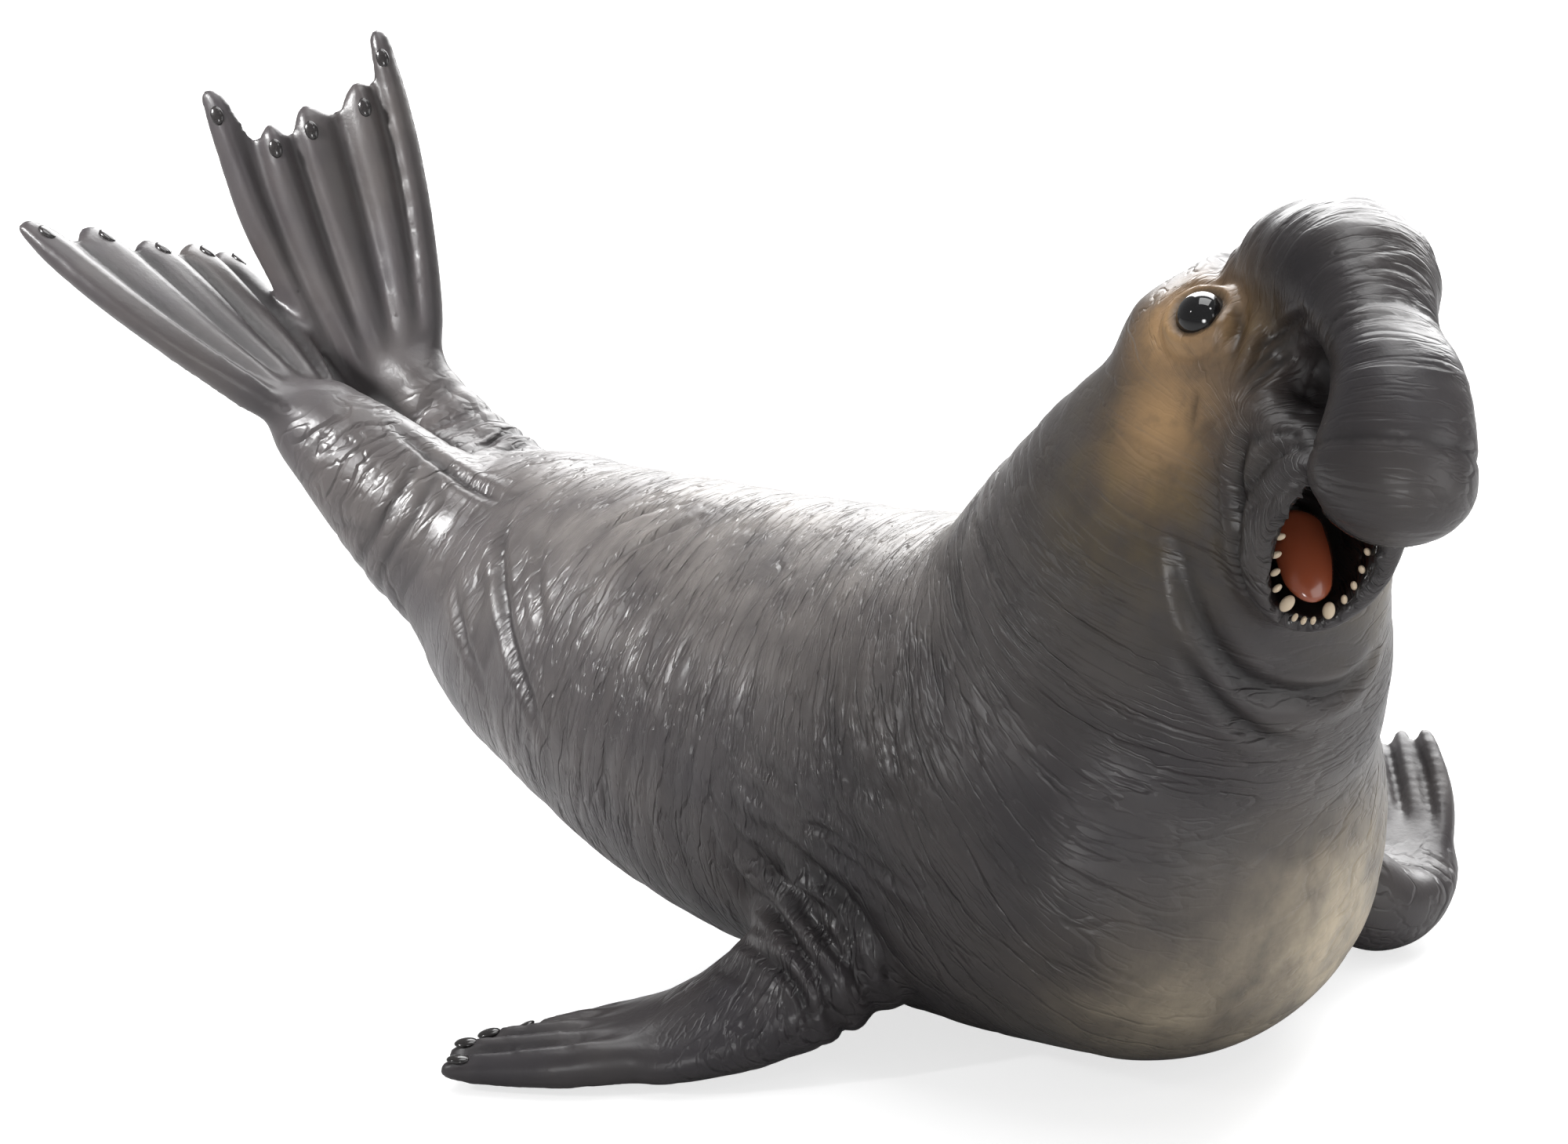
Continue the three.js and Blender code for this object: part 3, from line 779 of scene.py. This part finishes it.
# The web sinks between the toes, on both faces of a blade, and its ridges stand up beside the valleys.
VALLEY_ALONG = [0.12, 0.35, 0.6, 0.85, 1.05]
VALLEY_WIDTH = 0.8
VALLEY_DEPTH = 0.5
VALLEY_BANK = 0.2
VALLEY_DARKNESS = 0.85
for _, blade in limbs:
    for v in np.arange(0.5, TOES):
        valley = toe_path(blade, np.full(len(VALLEY_ALONG), v), np.array(VALLEY_ALONG))
        cut, banks = groove(points, valley, VALLEY_WIDTH)
        rise += VALLEY_BANK * banks - VALLEY_DEPTH * cut
        # Painted shade darkens the valleys between the toes.
        painted_shade = np.maximum(painted_shade, VALLEY_DARKNESS * cut)

# A lid rings each eye, with painted shade in its socket, and a bumpy hollow with painted shade goes in under
# the root of the nose.
# Whiskers' pits, darkened by painted shade, dot the lip below the hollow, and a dimple marks the front of
# the nose.
EYE_AT = [5.2, 8.6, 2.2]
LID_OFF = 2.5
LID_WIDTH = 0.4
LID_HEIGHT = 0.5
LID_GROOVE_OFF = 3.5
LID_GROOVE_WIDTH = 0.5
LID_GROOVE_DEPTH = 0.35
SOCKET_OFF = 1.9
SOCKET_WIDTH = 0.35
HOLLOW_AT = [13.2, 2.4, 0.4]
HOLLOW_SIZE = [2.4, 2.2, 2.2]
HOLLOW_DEPTH = 1.3
BUMP_HEIGHT = 1.1
BUMP_SIZE = 0.9
HOLLOW_DARKNESS = 0.9
SHADE_AT = [13.6, 3.4, -0.6]
SHADE_SIZE = [2.2, 2, 2]
PITS = [[14.2, 6, -4.2], [15, 4.9, -3.4], [15.6, 4.2, -3.1], [16.2, 4.9, -4.6], [16.6, 4, -4]]
PIT_RADIUS = 0.35
PIT_DEPTH = 0.3
DIMPLE_AT = [20.1, -0.8, 8.6]
DIMPLE_RADIUS = 0.9
DIMPLE_DEPTH = 0.35
off_eye = np.linalg.norm(mirrored - np.array(EYE_AT), axis=1)
rise += LID_HEIGHT * bell((off_eye - LID_OFF) / LID_WIDTH)
rise -= LID_GROOVE_DEPTH * bell((off_eye - LID_GROOVE_OFF) / LID_GROOVE_WIDTH)
# Painted shade darkens a ring in the socket round each eye.
painted_shade = np.maximum(painted_shade, bell((off_eye - SOCKET_OFF) / SOCKET_WIDTH))
hollow = near(mirrored, HOLLOW_AT, HOLLOW_SIZE)
rise -= hollow * (HOLLOW_DEPTH + BUMP_HEIGHT * (noise(head / BUMP_SIZE) - 0.5))
# Painted shade darkens the hollow under the nose's root.
painted_shade = np.maximum(painted_shade, HOLLOW_DARKNESS * near(mirrored, SHADE_AT, SHADE_SIZE))
for pit in PITS:
    whisker = near(mirrored, pit, PIT_RADIUS)
    rise -= PIT_DEPTH * whisker
    # Painted shade darkens each pit.
    painted_shade = np.maximum(painted_shade, whisker)
rise -= DIMPLE_DEPTH * near(head, DIMPLE_AT, DIMPLE_RADIUS)

# The mouth's lining stays plain, and nothing goes below the table. The rise is then put into the moulding.
LINING_MIDDLE = [17, 0, -10.4]
LINING_HALF = [4.1, 6.4]
LINING_FROM = 7.5
across_mouth = (head[:, 1] - LIP_RIM[1]) / LINING_HALF[0]
up_mouth = (head[:, 2] - LIP_RIM[2]) / LINING_HALF[1]
in_mouth = (across_mouth ** 2 + up_mouth ** 2 < 1) & (head[:, 0] > LINING_FROM)
lining = in_mouth * (np.sum(outward * (in_head(LINING_MIDDLE) - points), axis=1) > 0)
rise = np.where(lining, 0, rise)
points = points + outward * rise[:, None]
points[:, 2] = np.maximum(points[:, 2], 0)
put(skin, points)
head = to_head(points)
mirrored = both_sides(head)

# The vinyl is cast in charcoal and sprayed: pale on the back, khaki on the chest, tan round the eyes and
# olive on the cheeks. The pale grey on the top of the back is partly paint and partly painted light, where
# light from above and behind falls on it. A colour's places each have a share, the points that they are
# measured on, a middle and a size.
PAINTS = {
    "tan": [(1, mirrored, [4.5, 9.5, 1], [4.6, 5, 4.6]), (0.85, mirrored, [6.5, 10, -5], [4, 5, 5])],
    "olive": [(1, mirrored, [5, 9, -11], [8, 7, 8]), (0.8, mirrored, [9, 6.5, 2.2], [3, 2.4, 3])],
    "khaki": [(1, points, [28, -1, 11], [10, 13, 9]), (0.5, points, [20, -14, 9], [8, 8, 7])],
    "pale_and_lit": [(1, points, [-22, 0, 42], [30, 24, 14])],
}
# Where the skin has fewer of the thin wrinkles that its material draws: the chest, the face, the nape, the
# throat, the right leg and the hip. The nose has fewer too, and the blades have none.
PLAIN_PLACES = [
    (0.65, points, [26, -12, 14], [13, 16, 16]),
    (0.65, mirrored, [6, 9, -4], [7, 6, 10]),
    (0.9, points, [10, -9, 54], [9, 12, 9]),
    (0.8, mirrored, [11, 6, -18], [5, 8, 8]),
    (0.6, points, [-60, -3, 31], [11, 10, 10]),
    (0.7, points, [-47, -9, 28], [8, 9, 10]),
]
NOSE_PLAINNESS = 0.6
BLADE_FROM = 1
BLADE_SOFTNESS = 1.2
# The nose starts at this run, so that its wrinkles go on from the neck's.
NOSE_START = 110
# The nose lies above a slope up the face, and in front of the skull, or in front of the lips.
SLOPE = 0.45
SLOPE_FOOT = 1.5
SLOPE_SOFTNESS = 0.6
SKULL_FRONT = 2
SKULL_SOFTNESS = 0.8
LIPS_FRONT = 18.5
LIPS_SOFTNESS = 0.4
KEPT_FACES = 0.54


def paint(made, name, values):
    """A float attribute on the points, for the material to read."""
    layer = made.data.attributes.new(name, "FLOAT", "POINT")
    layer.data.foreach_set("value", np.asarray(values, float))


def strongest(places):
    """The largest share of several places: each a bell as wide as its size, times its share."""
    return np.max([share * near(where, middle, size) for share, where, middle, size in places], axis=0)


for name, places in PAINTS.items():
    paint(skin, name, strongest(places))
paint(skin, "painted_shade", painted_shade)
paint(skin, "lining", lining.astype(float))
over_slope = ramp((head[:, 2] + SLOPE * head[:, 0] - SLOPE_FOOT) / SLOPE_SOFTNESS)
on_nose = over_slope * ramp((head[:, 0] - SKULL_FRONT) / SKULL_SOFTNESS)
on_nose = np.maximum(on_nose, ramp((head[:, 0] - LIPS_FRONT) / LIPS_SOFTNESS))
paint(skin, "run", trunk_run * (1 - on_nose) + (nose_run + NOSE_START) * on_nose)
plainness = np.maximum(strongest(PLAIN_PLACES), NOSE_PLAINNESS * on_nose)
for _, blade in limbs:
    start = np.array(blade["root"], float)
    length = smoothed(blade["tips"], np.array([0.5]))[0] - start
    along = (points - start) @ unit(length)
    close = np.linalg.norm(points - start - length / 2, axis=1) < np.linalg.norm(length)
    plainness = np.maximum(plainness, close * ramp((along - BLADE_FROM) / BLADE_SOFTNESS))
paint(skin, "lined", 1 - plainness)
slim = skin.modifiers.new("slim", "DECIMATE")
slim.ratio = KEPT_FACES
bake_modifiers(skin)


def node_maker(tree):
    """A short way to add a node to a tree with its inputs set by value or by link."""
    def node(kind, inputs=(), **settings):
        made = tree.nodes.new(kind)
        for key, value in settings.items():
            setattr(made, key, value)
        for key, value in dict(inputs).items():
            if isinstance(value, bpy.types.NodeSocket):
                tree.links.new(value, made.inputs[key])
            else:
                made.inputs[key].default_value = value
        return made
    return node


def material(name):
    """A material with its node maker and its shader."""
    made = bpy.data.materials.new(name)
    made.use_nodes = True
    return made, node_maker(made.node_tree), made.node_tree.nodes["Principled BSDF"]


# The material of the moulding: charcoal vinyl mottled with a warmer grey, under sprayed colours that are
# thinner in places, with painted shade darkening its creases, with thin wrinkles across its run and a fine
# grain.
CHARCOAL = (0.036, 0.032, 0.036, 1)
WARM_GREY = (0.066, 0.058, 0.056, 1)
PALE_AND_LIT_GREY = (0.3, 0.275, 0.255, 1)
KHAKI = (0.62, 0.52, 0.37, 1)
TAN = (0.56, 0.345, 0.165, 1)
OLIVE = (0.14, 0.105, 0.05, 1)
SHADE_DARK = (0.01, 0.009, 0.01, 1)
MOUTH_GUM_AND_SHADE = (0.012, 0.01, 0.01, 1)
PAINTED_SHADE_SHARE = 0.8
LONG_STRENGTH = 0.6
LONG_DEPTH = 0.0003
SHORT_STRENGTH = 0.4
SHORT_DEPTH = 0.0002
GRAIN_SCALE = 2600.0
GRAIN_STRENGTH = 0.25
GRAIN_DEPTH = 0.00008
GLOSSIEST = 0.3
DULLEST = 0.46
WET = 0.12
vinyl, node, shader = material("vinyl")
links = vinyl.node_tree.links
place = node("ShaderNodeTexCoord").outputs["Object"]
parts = node("ShaderNodeSeparateXYZ", {"Vector": place})


def attribute(name):
    """The value of one of the skin's painted masks."""
    return node("ShaderNodeAttribute", attribute_name=name).outputs["Fac"]


def product(one, other):
    """Two values multiplied."""
    return node("ShaderNodeMath", {0: one, 1: other}, operation="MULTIPLY").outputs["Value"]


def mixed(share, one, other):
    """Two colours mixed by a share."""
    made = node("ShaderNodeMix", {"Factor": share}, data_type="RGBA")
    for socket, value in ((made.inputs[6], one), (made.inputs[7], other)):
        if isinstance(value, bpy.types.NodeSocket):
            links.new(value, socket)
        else:
            socket.default_value = value
    return made.outputs[2]


def mottled(scale, low, high):
    """Noise at a scale, stretched from 0 to 1 between two of its levels."""
    noisy = node("ShaderNodeTexNoise", {"Vector": place, "Scale": scale, "Detail": 4.0, "Roughness": 0.6})
    spread = node("ShaderNodeMapRange", {"Value": noisy.outputs["Fac"], "From Min": low, "From Max": high})
    return spread.outputs["Result"]


def sprayed(under, over, mask, scale, low, high):
    """A colour sprayed over another by a painted mask, thinner where mottled noise is low."""
    return mixed(product(attribute(mask), mottled(scale, low, high)), under, over)


def thin_lines(along, sideways, width):
    """Zero on thin wrinkles across the run and one between them: where stretched noise is near a half."""
    stretched = node("ShaderNodeCombineXYZ", {
        "X": product(attribute("run"), along),
        "Y": product(parts.outputs["Y"], sideways),
        "Z": product(parts.outputs["Z"], sideways),
    })
    noisy = node("ShaderNodeTexNoise", {"Vector": stretched.outputs["Vector"], "Scale": 1.0, "Detail": 2.0})
    off = node("ShaderNodeMath", {0: noisy.outputs["Fac"], 1: 0.5}, operation="SUBTRACT")
    off = node("ShaderNodeMath", {0: off.outputs["Value"]}, operation="ABSOLUTE")
    return node("ShaderNodeMapRange", {"Value": off.outputs["Value"], "From Max": width}).outputs["Result"]


colour = mixed(mottled(scale=60, low=0.35, high=0.7), CHARCOAL, WARM_GREY)
# Pale grey on the top of the back: partly paint, and partly painted light where light from above and behind
# falls on it.
colour = sprayed(colour, PALE_AND_LIT_GREY, "pale_and_lit", scale=160, low=0.2, high=0.75)
colour = sprayed(colour, KHAKI, "khaki", scale=220, low=0.1, high=0.6)
colour = sprayed(colour, OLIVE, "olive", scale=300, low=0.25, high=0.7)
colour = sprayed(colour, TAN, "tan", scale=350, low=0.05, high=0.5)
# Painted shade: the creases, folds, sockets, pits and hollows darken toward near-black, as shade falls in
# them.
colour = mixed(product(attribute("painted_shade"), PAINTED_SHADE_SHARE), colour, SHADE_DARK)
# The mouth's lining is near black: its dark gum, and painted shade deep inside the mouth.
colour = mixed(attribute("lining"), colour, MOUTH_GUM_AND_SHADE)
links.new(colour, shader.inputs["Base Color"])
lined = attribute("lined")
long_bump = node("ShaderNodeBump", {
    "Height": thin_lines(along=0.45, sideways=90.0, width=0.035),
    "Strength": product(lined, LONG_STRENGTH),
    "Distance": LONG_DEPTH,
})
short_bump = node("ShaderNodeBump", {
    "Height": thin_lines(along=1.3, sideways=260.0, width=0.05),
    "Strength": product(lined, SHORT_STRENGTH),
    "Distance": SHORT_DEPTH,
    "Normal": long_bump.outputs["Normal"],
})
grain = node("ShaderNodeTexNoise", {"Vector": place, "Scale": GRAIN_SCALE, "Detail": 2.0})
grain_bump = node("ShaderNodeBump", {
    "Height": grain.outputs["Fac"],
    "Strength": GRAIN_STRENGTH,
    "Distance": GRAIN_DEPTH,
    "Normal": short_bump.outputs["Normal"],
})
links.new(grain_bump.outputs["Normal"], shader.inputs["Normal"])
sheen = node("ShaderNodeMapRange", {
    "Value": mottled(scale=90, low=0.3, high=0.7), "To Min": GLOSSIEST, "To Max": DULLEST,
})
roughness = node("ShaderNodeMix", {"Factor": attribute("lining"), 2: sheen.outputs["Result"], 3: WET})
links.new(roughness.outputs[0], shader.inputs["Roughness"])


def dressed(made, coat):
    """The piece with its material and smooth faces, riding on the figure."""
    made.data.materials.clear()
    made.data.materials.append(coat)
    made.data.polygons.foreach_set("use_smooth", [True] * len(made.data.polygons))
    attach(made, "root")


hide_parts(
    "hips", "torso", "chest", "neck", "head", "lower_jaw", "nose", "tail",
    "front_flipper_right", "front_flipper_left", "hind_flipper_right", "hind_flipper_left",
)
dressed(skin, vinyl)

# The eyes are two black glass-like balls, polished and set into the lids.
# Only the front of each shows.
EYE_RADIUS = 1.95


def plain(name, colour, roughness, coat=0.0):
    """A material of one colour, under a clear coat of so much strength."""
    made, node, shader = material(name)
    shader.inputs["Base Color"].default_value = colour
    shader.inputs["Roughness"].default_value = roughness
    shader.inputs["Coat Weight"].default_value = coat
    return made


def ball(middle, radii, axes=np.eye(3), rings=32, sides=48):
    """An ellipsoid: rings of sin t cos a, sin t sin a and cos t, with its radii along the rows of axes."""
    t = np.pi * np.arange(1, rings) / rings
    a = 2 * np.pi * np.arange(sides) / sides
    across = np.sin(t)[:, None] * np.cos(a)
    along = np.sin(t)[:, None] * np.sin(a)
    high = np.cos(t)[:, None] * np.ones(sides)
    round_part = np.stack([across, along, high], -1).reshape(-1, 3)
    points = np.vstack([[[0, 0, 1]], round_part, [[0, 0, -1]]]) * radii
    faces = [face[::-1] for face in ring_faces(rings - 1, sides)]
    return points @ axes + middle, faces


black_gloss = plain("black_gloss", (0.006, 0.006, 0.007, 1), roughness=0.08, coat=0.5)
for name, side in (("eye_right", -1), ("eye_left", 1)):
    middle = in_head([EYE_AT[0], side * EYE_AT[1], EYE_AT[2]])
    eye = mesh_object(name + "_ball", *ball(middle, [EYE_RADIUS] * 3))
    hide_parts(name)
    dressed(eye, black_gloss)

# The tongue is a thick smooth pad of brick-red vinyl, glossy as if wet.
# It comes out of the back of the mouth and slopes down to the front teeth.
TONGUE = [
    [10.5, -0.2, -9.6, 2, 1.2, 1.2],
    [14, -0.3, -12, 2.2, 1.3, 1.2],
    [17.2, -0.4, -14.4, 1.5, 0.7, 0.7],
]
brick_gloss = plain("brick_gloss", (0.27, 0.066, 0.03, 1), roughness=0.2, coat=0.6)
tongue_form = tube(head_stations(TONGUE), rings=50, sides=60, caps=(1.5, 1.8), lift=head_up)
tongue = mesh_object("tongue_piece", *tongue_form)
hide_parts("tongue")
dressed(tongue, brick_gloss)

# The teeth are small cream pegs round the lower jaw: two canines, three incisors, four cheek teeth a side.
# Each has its angle round the mouth's rim from straight down, its height and its radius. Its foot stands on
# an ellipse inside the lips, and it leans inward, forward and up.
TEETH = [(-30, 1.4, 0.45), (30, 1.4, 0.45)]
TEETH += [(angle, 0.7, 0.2) for angle in (-12, 0, 12)]
TEETH += [(side * angle, 0.8, 0.24) for side in (-1, 1) for angle in (50, 64, 78, 92)]
TEETH_MIDDLE = [16.9, -0.4, -10.5]
TEETH_HALF = [3.45, 5.45]
SUNK = 0.3
FORWARD_LEAN = 0.35
INWARD_LEAN = 0.5
UPWARD_LEAN = 0.4
cream = plain("cream", (0.62, 0.5, 0.36, 1), roughness=0.35)
pegs = []
for angle, height, radius in TEETH:
    across, down = math.sin(math.radians(angle)), math.cos(math.radians(angle))
    foot = in_head([
        TEETH_MIDDLE[0],
        TEETH_MIDDLE[1] + TEETH_HALF[0] * across,
        TEETH_MIDDLE[2] - TEETH_HALF[1] * down,
    ])
    way = unit(np.array([FORWARD_LEAN, -INWARD_LEAN * across, UPWARD_LEAN + INWARD_LEAN * down]) @ HEAD_AXES)
    side = unit(np.cross(way, head_up))
    axes = np.stack([side, np.cross(way, side), way])
    middle = foot + way * (height / 2 - SUNK)
    pegs.append(ball(middle, [radius, radius, height / 2], axes, rings=16, sides=20))
teeth = mesh_object("teeth", *joined(pegs))
dressed(teeth, cream)

# The nails are dark glossy ovals, one moulded near the tip of each toe.
# Each lies flat on the skin, turned a little toward the blade's upper face.
NAIL_FROM = 0.91
NAIL_TOWARD = 0.97
NAIL_LIFT = 1.2
NAIL_RADII = [0.62, 0.95, 0.3]
dark_nail = plain("dark_nail", (0.02, 0.018, 0.018, 1), roughness=0.2, coat=0.4)
ovals = []
for _, blade in limbs:
    face = blade_face(blade)
    for k in range(TOES + 1):
        here, beyond = toe_path(blade, np.array([float(k)] * 2), np.array([NAIL_FROM, NAIL_TOWARD]))
        _, at, out, _ = skin.closest_point_on_mesh(Vector((here + face * NAIL_LIFT) * MM))
        out = unit(np.array(out) + face)
        across = unit(np.cross(unit(beyond - here), out))
        axes = np.stack([across, np.cross(out, across), out])
        ovals.append(ball(np.array(at) / MM, NAIL_RADII, axes, rings=14, sides=20))
nails = mesh_object("nails", *joined(ovals))
dressed(nails, dark_nail)

# The floor is a plain pale table under white air, and its far edge is out of the picture.
# It glows toward the camera alone, so that it comes out white there and throws no light on the figure.
FLOOR_EDGE = 700
FLOOR_GREY = (0.5, 0.5, 0.5, 1)
FLOOR_GLOW = (0.72, 0.72, 0.72, 1)
white_table, node, shader = material("white_table")
shader.inputs["Base Color"].default_value = FLOOR_GREY
shader.inputs["Roughness"].default_value = 0.9
shader.inputs["Emission Color"].default_value = FLOOR_GLOW
to_camera = node("ShaderNodeLightPath").outputs["Is Camera Ray"]
white_table.node_tree.links.new(to_camera, shader.inputs["Emission Strength"])
corners = [[x * FLOOR_EDGE, y * FLOOR_EDGE, 0] for x, y in ((-1, -1), (1, -1), (1, 1), (-1, 1))]
floor = mesh_object("floor", corners, [[0, 1, 2, 3]])
floor.data.materials.append(white_table)

# The light is a studio's: a large soft box behind, a weak one overhead, a small key by the camera's right,
# a fill on the right, and two narrow beams, one on the hind flippers and one low on the chest.
# Places and sizes are in metres, powers in watts, and a beam's spread in degrees.
AIR_TO_CAMERA = 1.0
AIR_TO_FIGURE = 0.27


def soft_box(name, at, aim, size, power, spread=180):
    """A square area light at a point in metres, turned to face another, its beam so many degrees wide."""
    light = bpy.data.lights.new(name, "AREA")
    light.size = size
    light.energy = power
    light.spread = math.radians(spread)
    placed = bpy.data.objects.new(name, light)
    placed.location = at
    placed.rotation_euler = (Vector(aim) - Vector(at)).to_track_quat("-Z", "Y").to_euler()
    bpy.context.collection.objects.link(placed)


soft_box("back", (-0.15, 0.5, 0.38), (-0.02, 0, 0.03), size=0.6, power=8.4)
soft_box("overhead", (0.05, 0.02, 0.6), (-0.02, 0, 0.03), size=0.35, power=1.6)
soft_box("flippers", (-0.3, -0.35, 0.3), (-0.085, 0.005, 0.05), size=0.1, power=0.09, spread=14)
soft_box("key", (0.34, -0.11, 0.46), (0.02, -0.01, 0.05), size=0.06, power=0.13)
soft_box("right", (0.45, -0.02, 0.12), (0.02, 0, 0.04), size=0.3, power=0.5)
soft_box("low", (0.25, -0.4, 0.03), (0.02, -0.01, 0.02), size=0.2, power=0.03, spread=20)
bpy.context.scene.view_settings.view_transform = "Standard"
world = bpy.data.worlds.new("studio")
bpy.context.scene.world = world
world.use_nodes = True
world_node = node_maker(world.node_tree)
to_camera = world_node("ShaderNodeLightPath").outputs["Is Camera Ray"]
strength = world_node("ShaderNodeMapRange", {
    "Value": to_camera, "To Min": AIR_TO_FIGURE, "To Max": AIR_TO_CAMERA,
})
backdrop = world.node_tree.nodes["Background"]
backdrop.inputs["Color"].default_value = (1, 1, 1, 1)
world.node_tree.links.new(strength.outputs["Result"], backdrop.inputs["Strength"])
